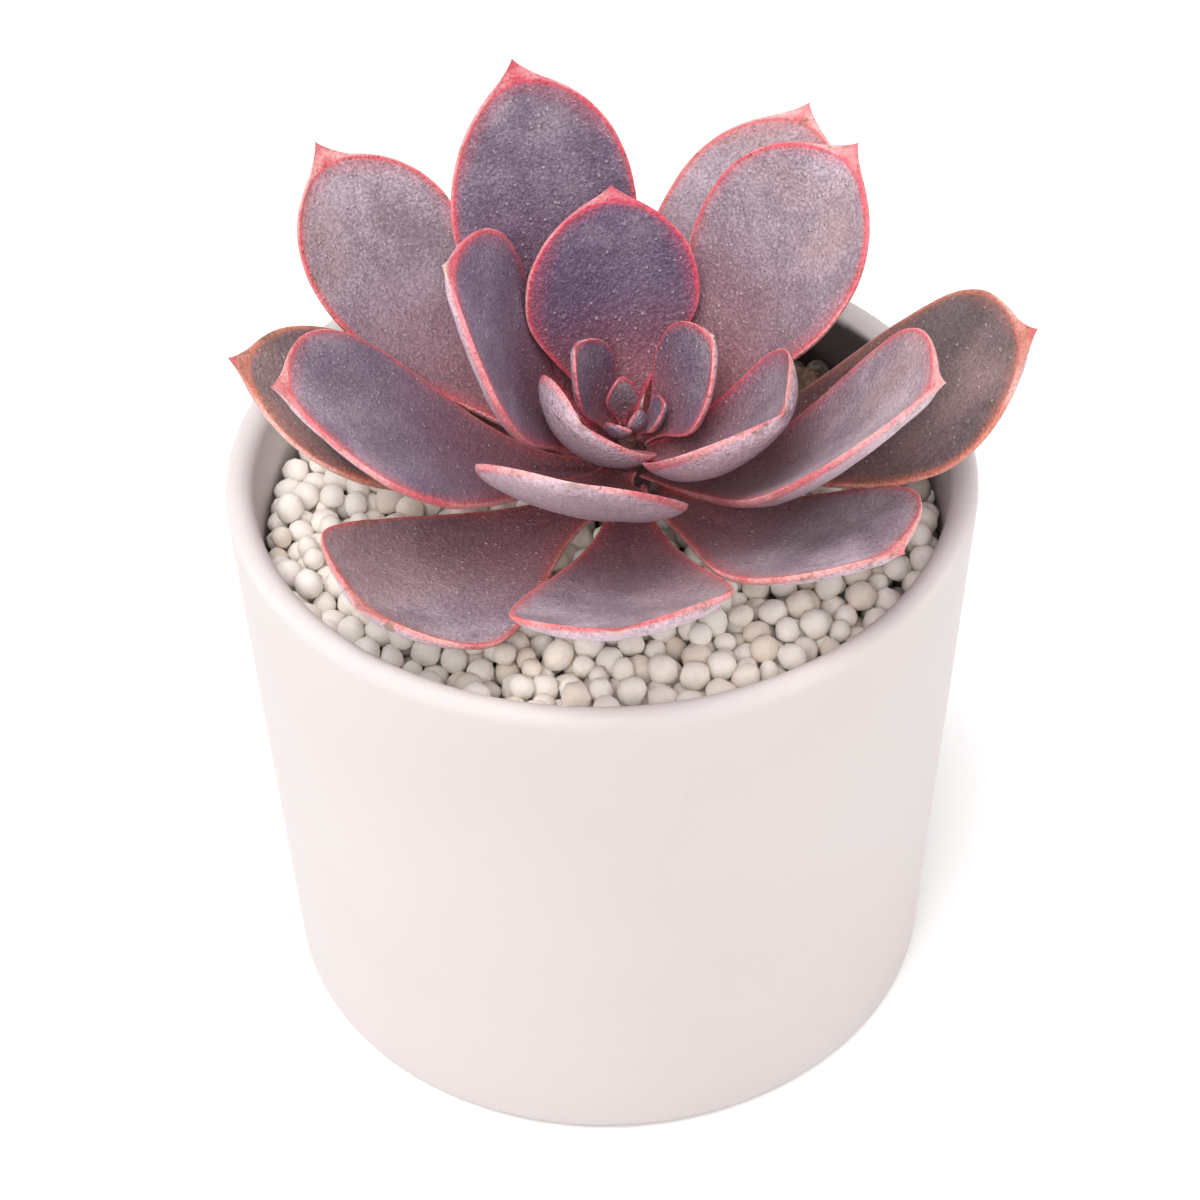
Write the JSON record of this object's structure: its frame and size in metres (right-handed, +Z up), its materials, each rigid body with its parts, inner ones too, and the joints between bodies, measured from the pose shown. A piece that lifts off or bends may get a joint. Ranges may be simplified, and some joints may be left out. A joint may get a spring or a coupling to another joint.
{
  "type": "potted succulent",
  "caption": "Rosette succulent with pointed, red-edged leaves on a short stem, planted in a round tapered ceramic pot under a dressing of pale clay beads.",
  "frame": {"origin": "middle of the pot's flat underside", "axes": "+Z up along the pot's axis; -Y towards the front, the way leaf_06 points; +X to the right seen from the front"},
  "size_m": [0.1048, 0.1026, 0.1301],
  "materials": {
    "pot_glaze": "smooth matt off-white glaze with a faint pink cast",
    "growing_mix": null,
    "clay_beads": "unglazed cream clay beads",
    "stem": "dry corky succulent stem",
    "leaf_outer": null,
    "leaf_inner": null
  },
  "bodies": {
    "root": {"pot": "pot_glaze", "growing_mix": "growing_mix", "bead_bed": "clay_beads", "stem": "stem", "leaf_01": "leaf_outer", "leaf_02": "leaf_outer", "leaf_03": "leaf_outer", "leaf_04": "leaf_outer", "leaf_05": "leaf_outer", "leaf_06": "leaf_outer", "leaf_07": "leaf_outer", "leaf_08": "leaf_outer", "leaf_09": "leaf_outer", "leaf_10": "leaf_outer", "leaf_11": "leaf_outer", "leaf_12": "leaf_outer", "leaf_13": "leaf_inner", "leaf_14": "leaf_inner", "leaf_15": "leaf_inner", "leaf_16": "leaf_inner", "leaf_17": "leaf_inner", "leaf_18": "leaf_inner", "leaf_19": "leaf_inner", "leaf_20": "leaf_inner", "leaf_21": "leaf_inner", "leaf_22": "leaf_inner"}
  },
  "joints": []
}
